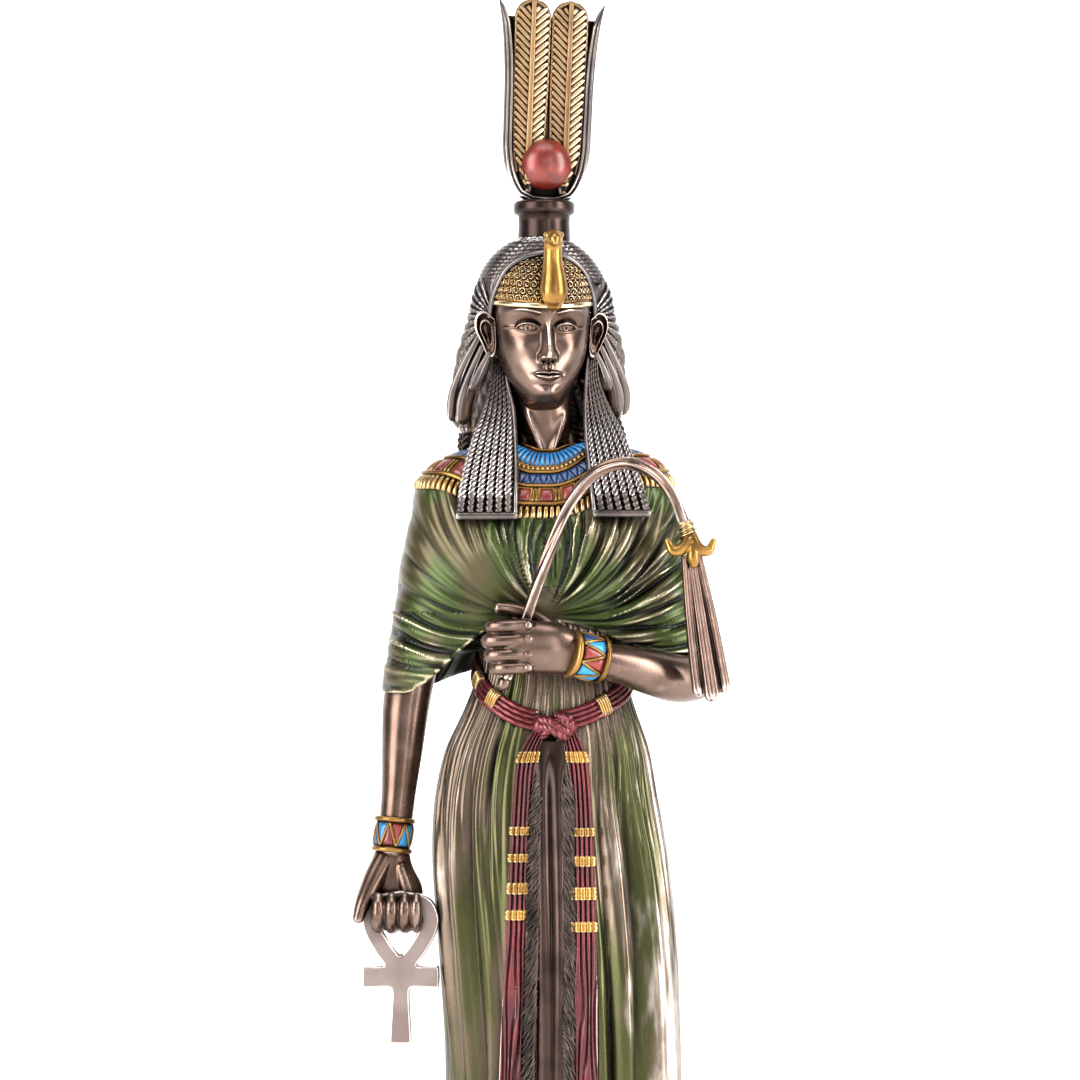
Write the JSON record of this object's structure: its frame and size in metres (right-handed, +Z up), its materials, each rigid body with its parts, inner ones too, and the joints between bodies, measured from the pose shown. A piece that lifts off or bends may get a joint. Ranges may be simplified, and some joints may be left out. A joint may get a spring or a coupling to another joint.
{
  "type": "egyptian queen figurine",
  "caption": "Standing Egyptian queen figurine in painted cold-cast bronze, in a pleated gown and shawl with a tall plume crown, holding a flail and an ankh on a low plinth.",
  "frame": {"origin": "centre of the plinth's underside, on the surface that it stands on", "axes": "+Z up through the figure, the figure faces -Y, +X to the right of someone who looks at its face"},
  "size_m": [0.082, 0.068, 0.3],
  "materials": {
    "bronze": "brown cold-cast bronze patina, rubbed bright on the high places",
    "dark_bronze": "dark brown cold-cast bronze patina",
    "light_bronze": "light bronze, rubbed bright",
    "pale_copper": "pale copper bronze, satin",
    "green_cloth": "translucent green paint over bronze, worn on the folds",
    "maroon_cords": "translucent maroon paint over bronze",
    "gilding": "gold paint, satin, darker in the hollows",
    "turquoise_paint": "opaque turquoise enamel paint",
    "blue_paint": "opaque dark blue enamel paint",
    "red_paint": "opaque red enamel paint"
  },
  "bodies": {
    "root": {"queen_figure": "bronze", "plinth": "dark_bronze", "ankh": "pale_copper", "flail": "light_bronze"}
  },
  "joints": []
}
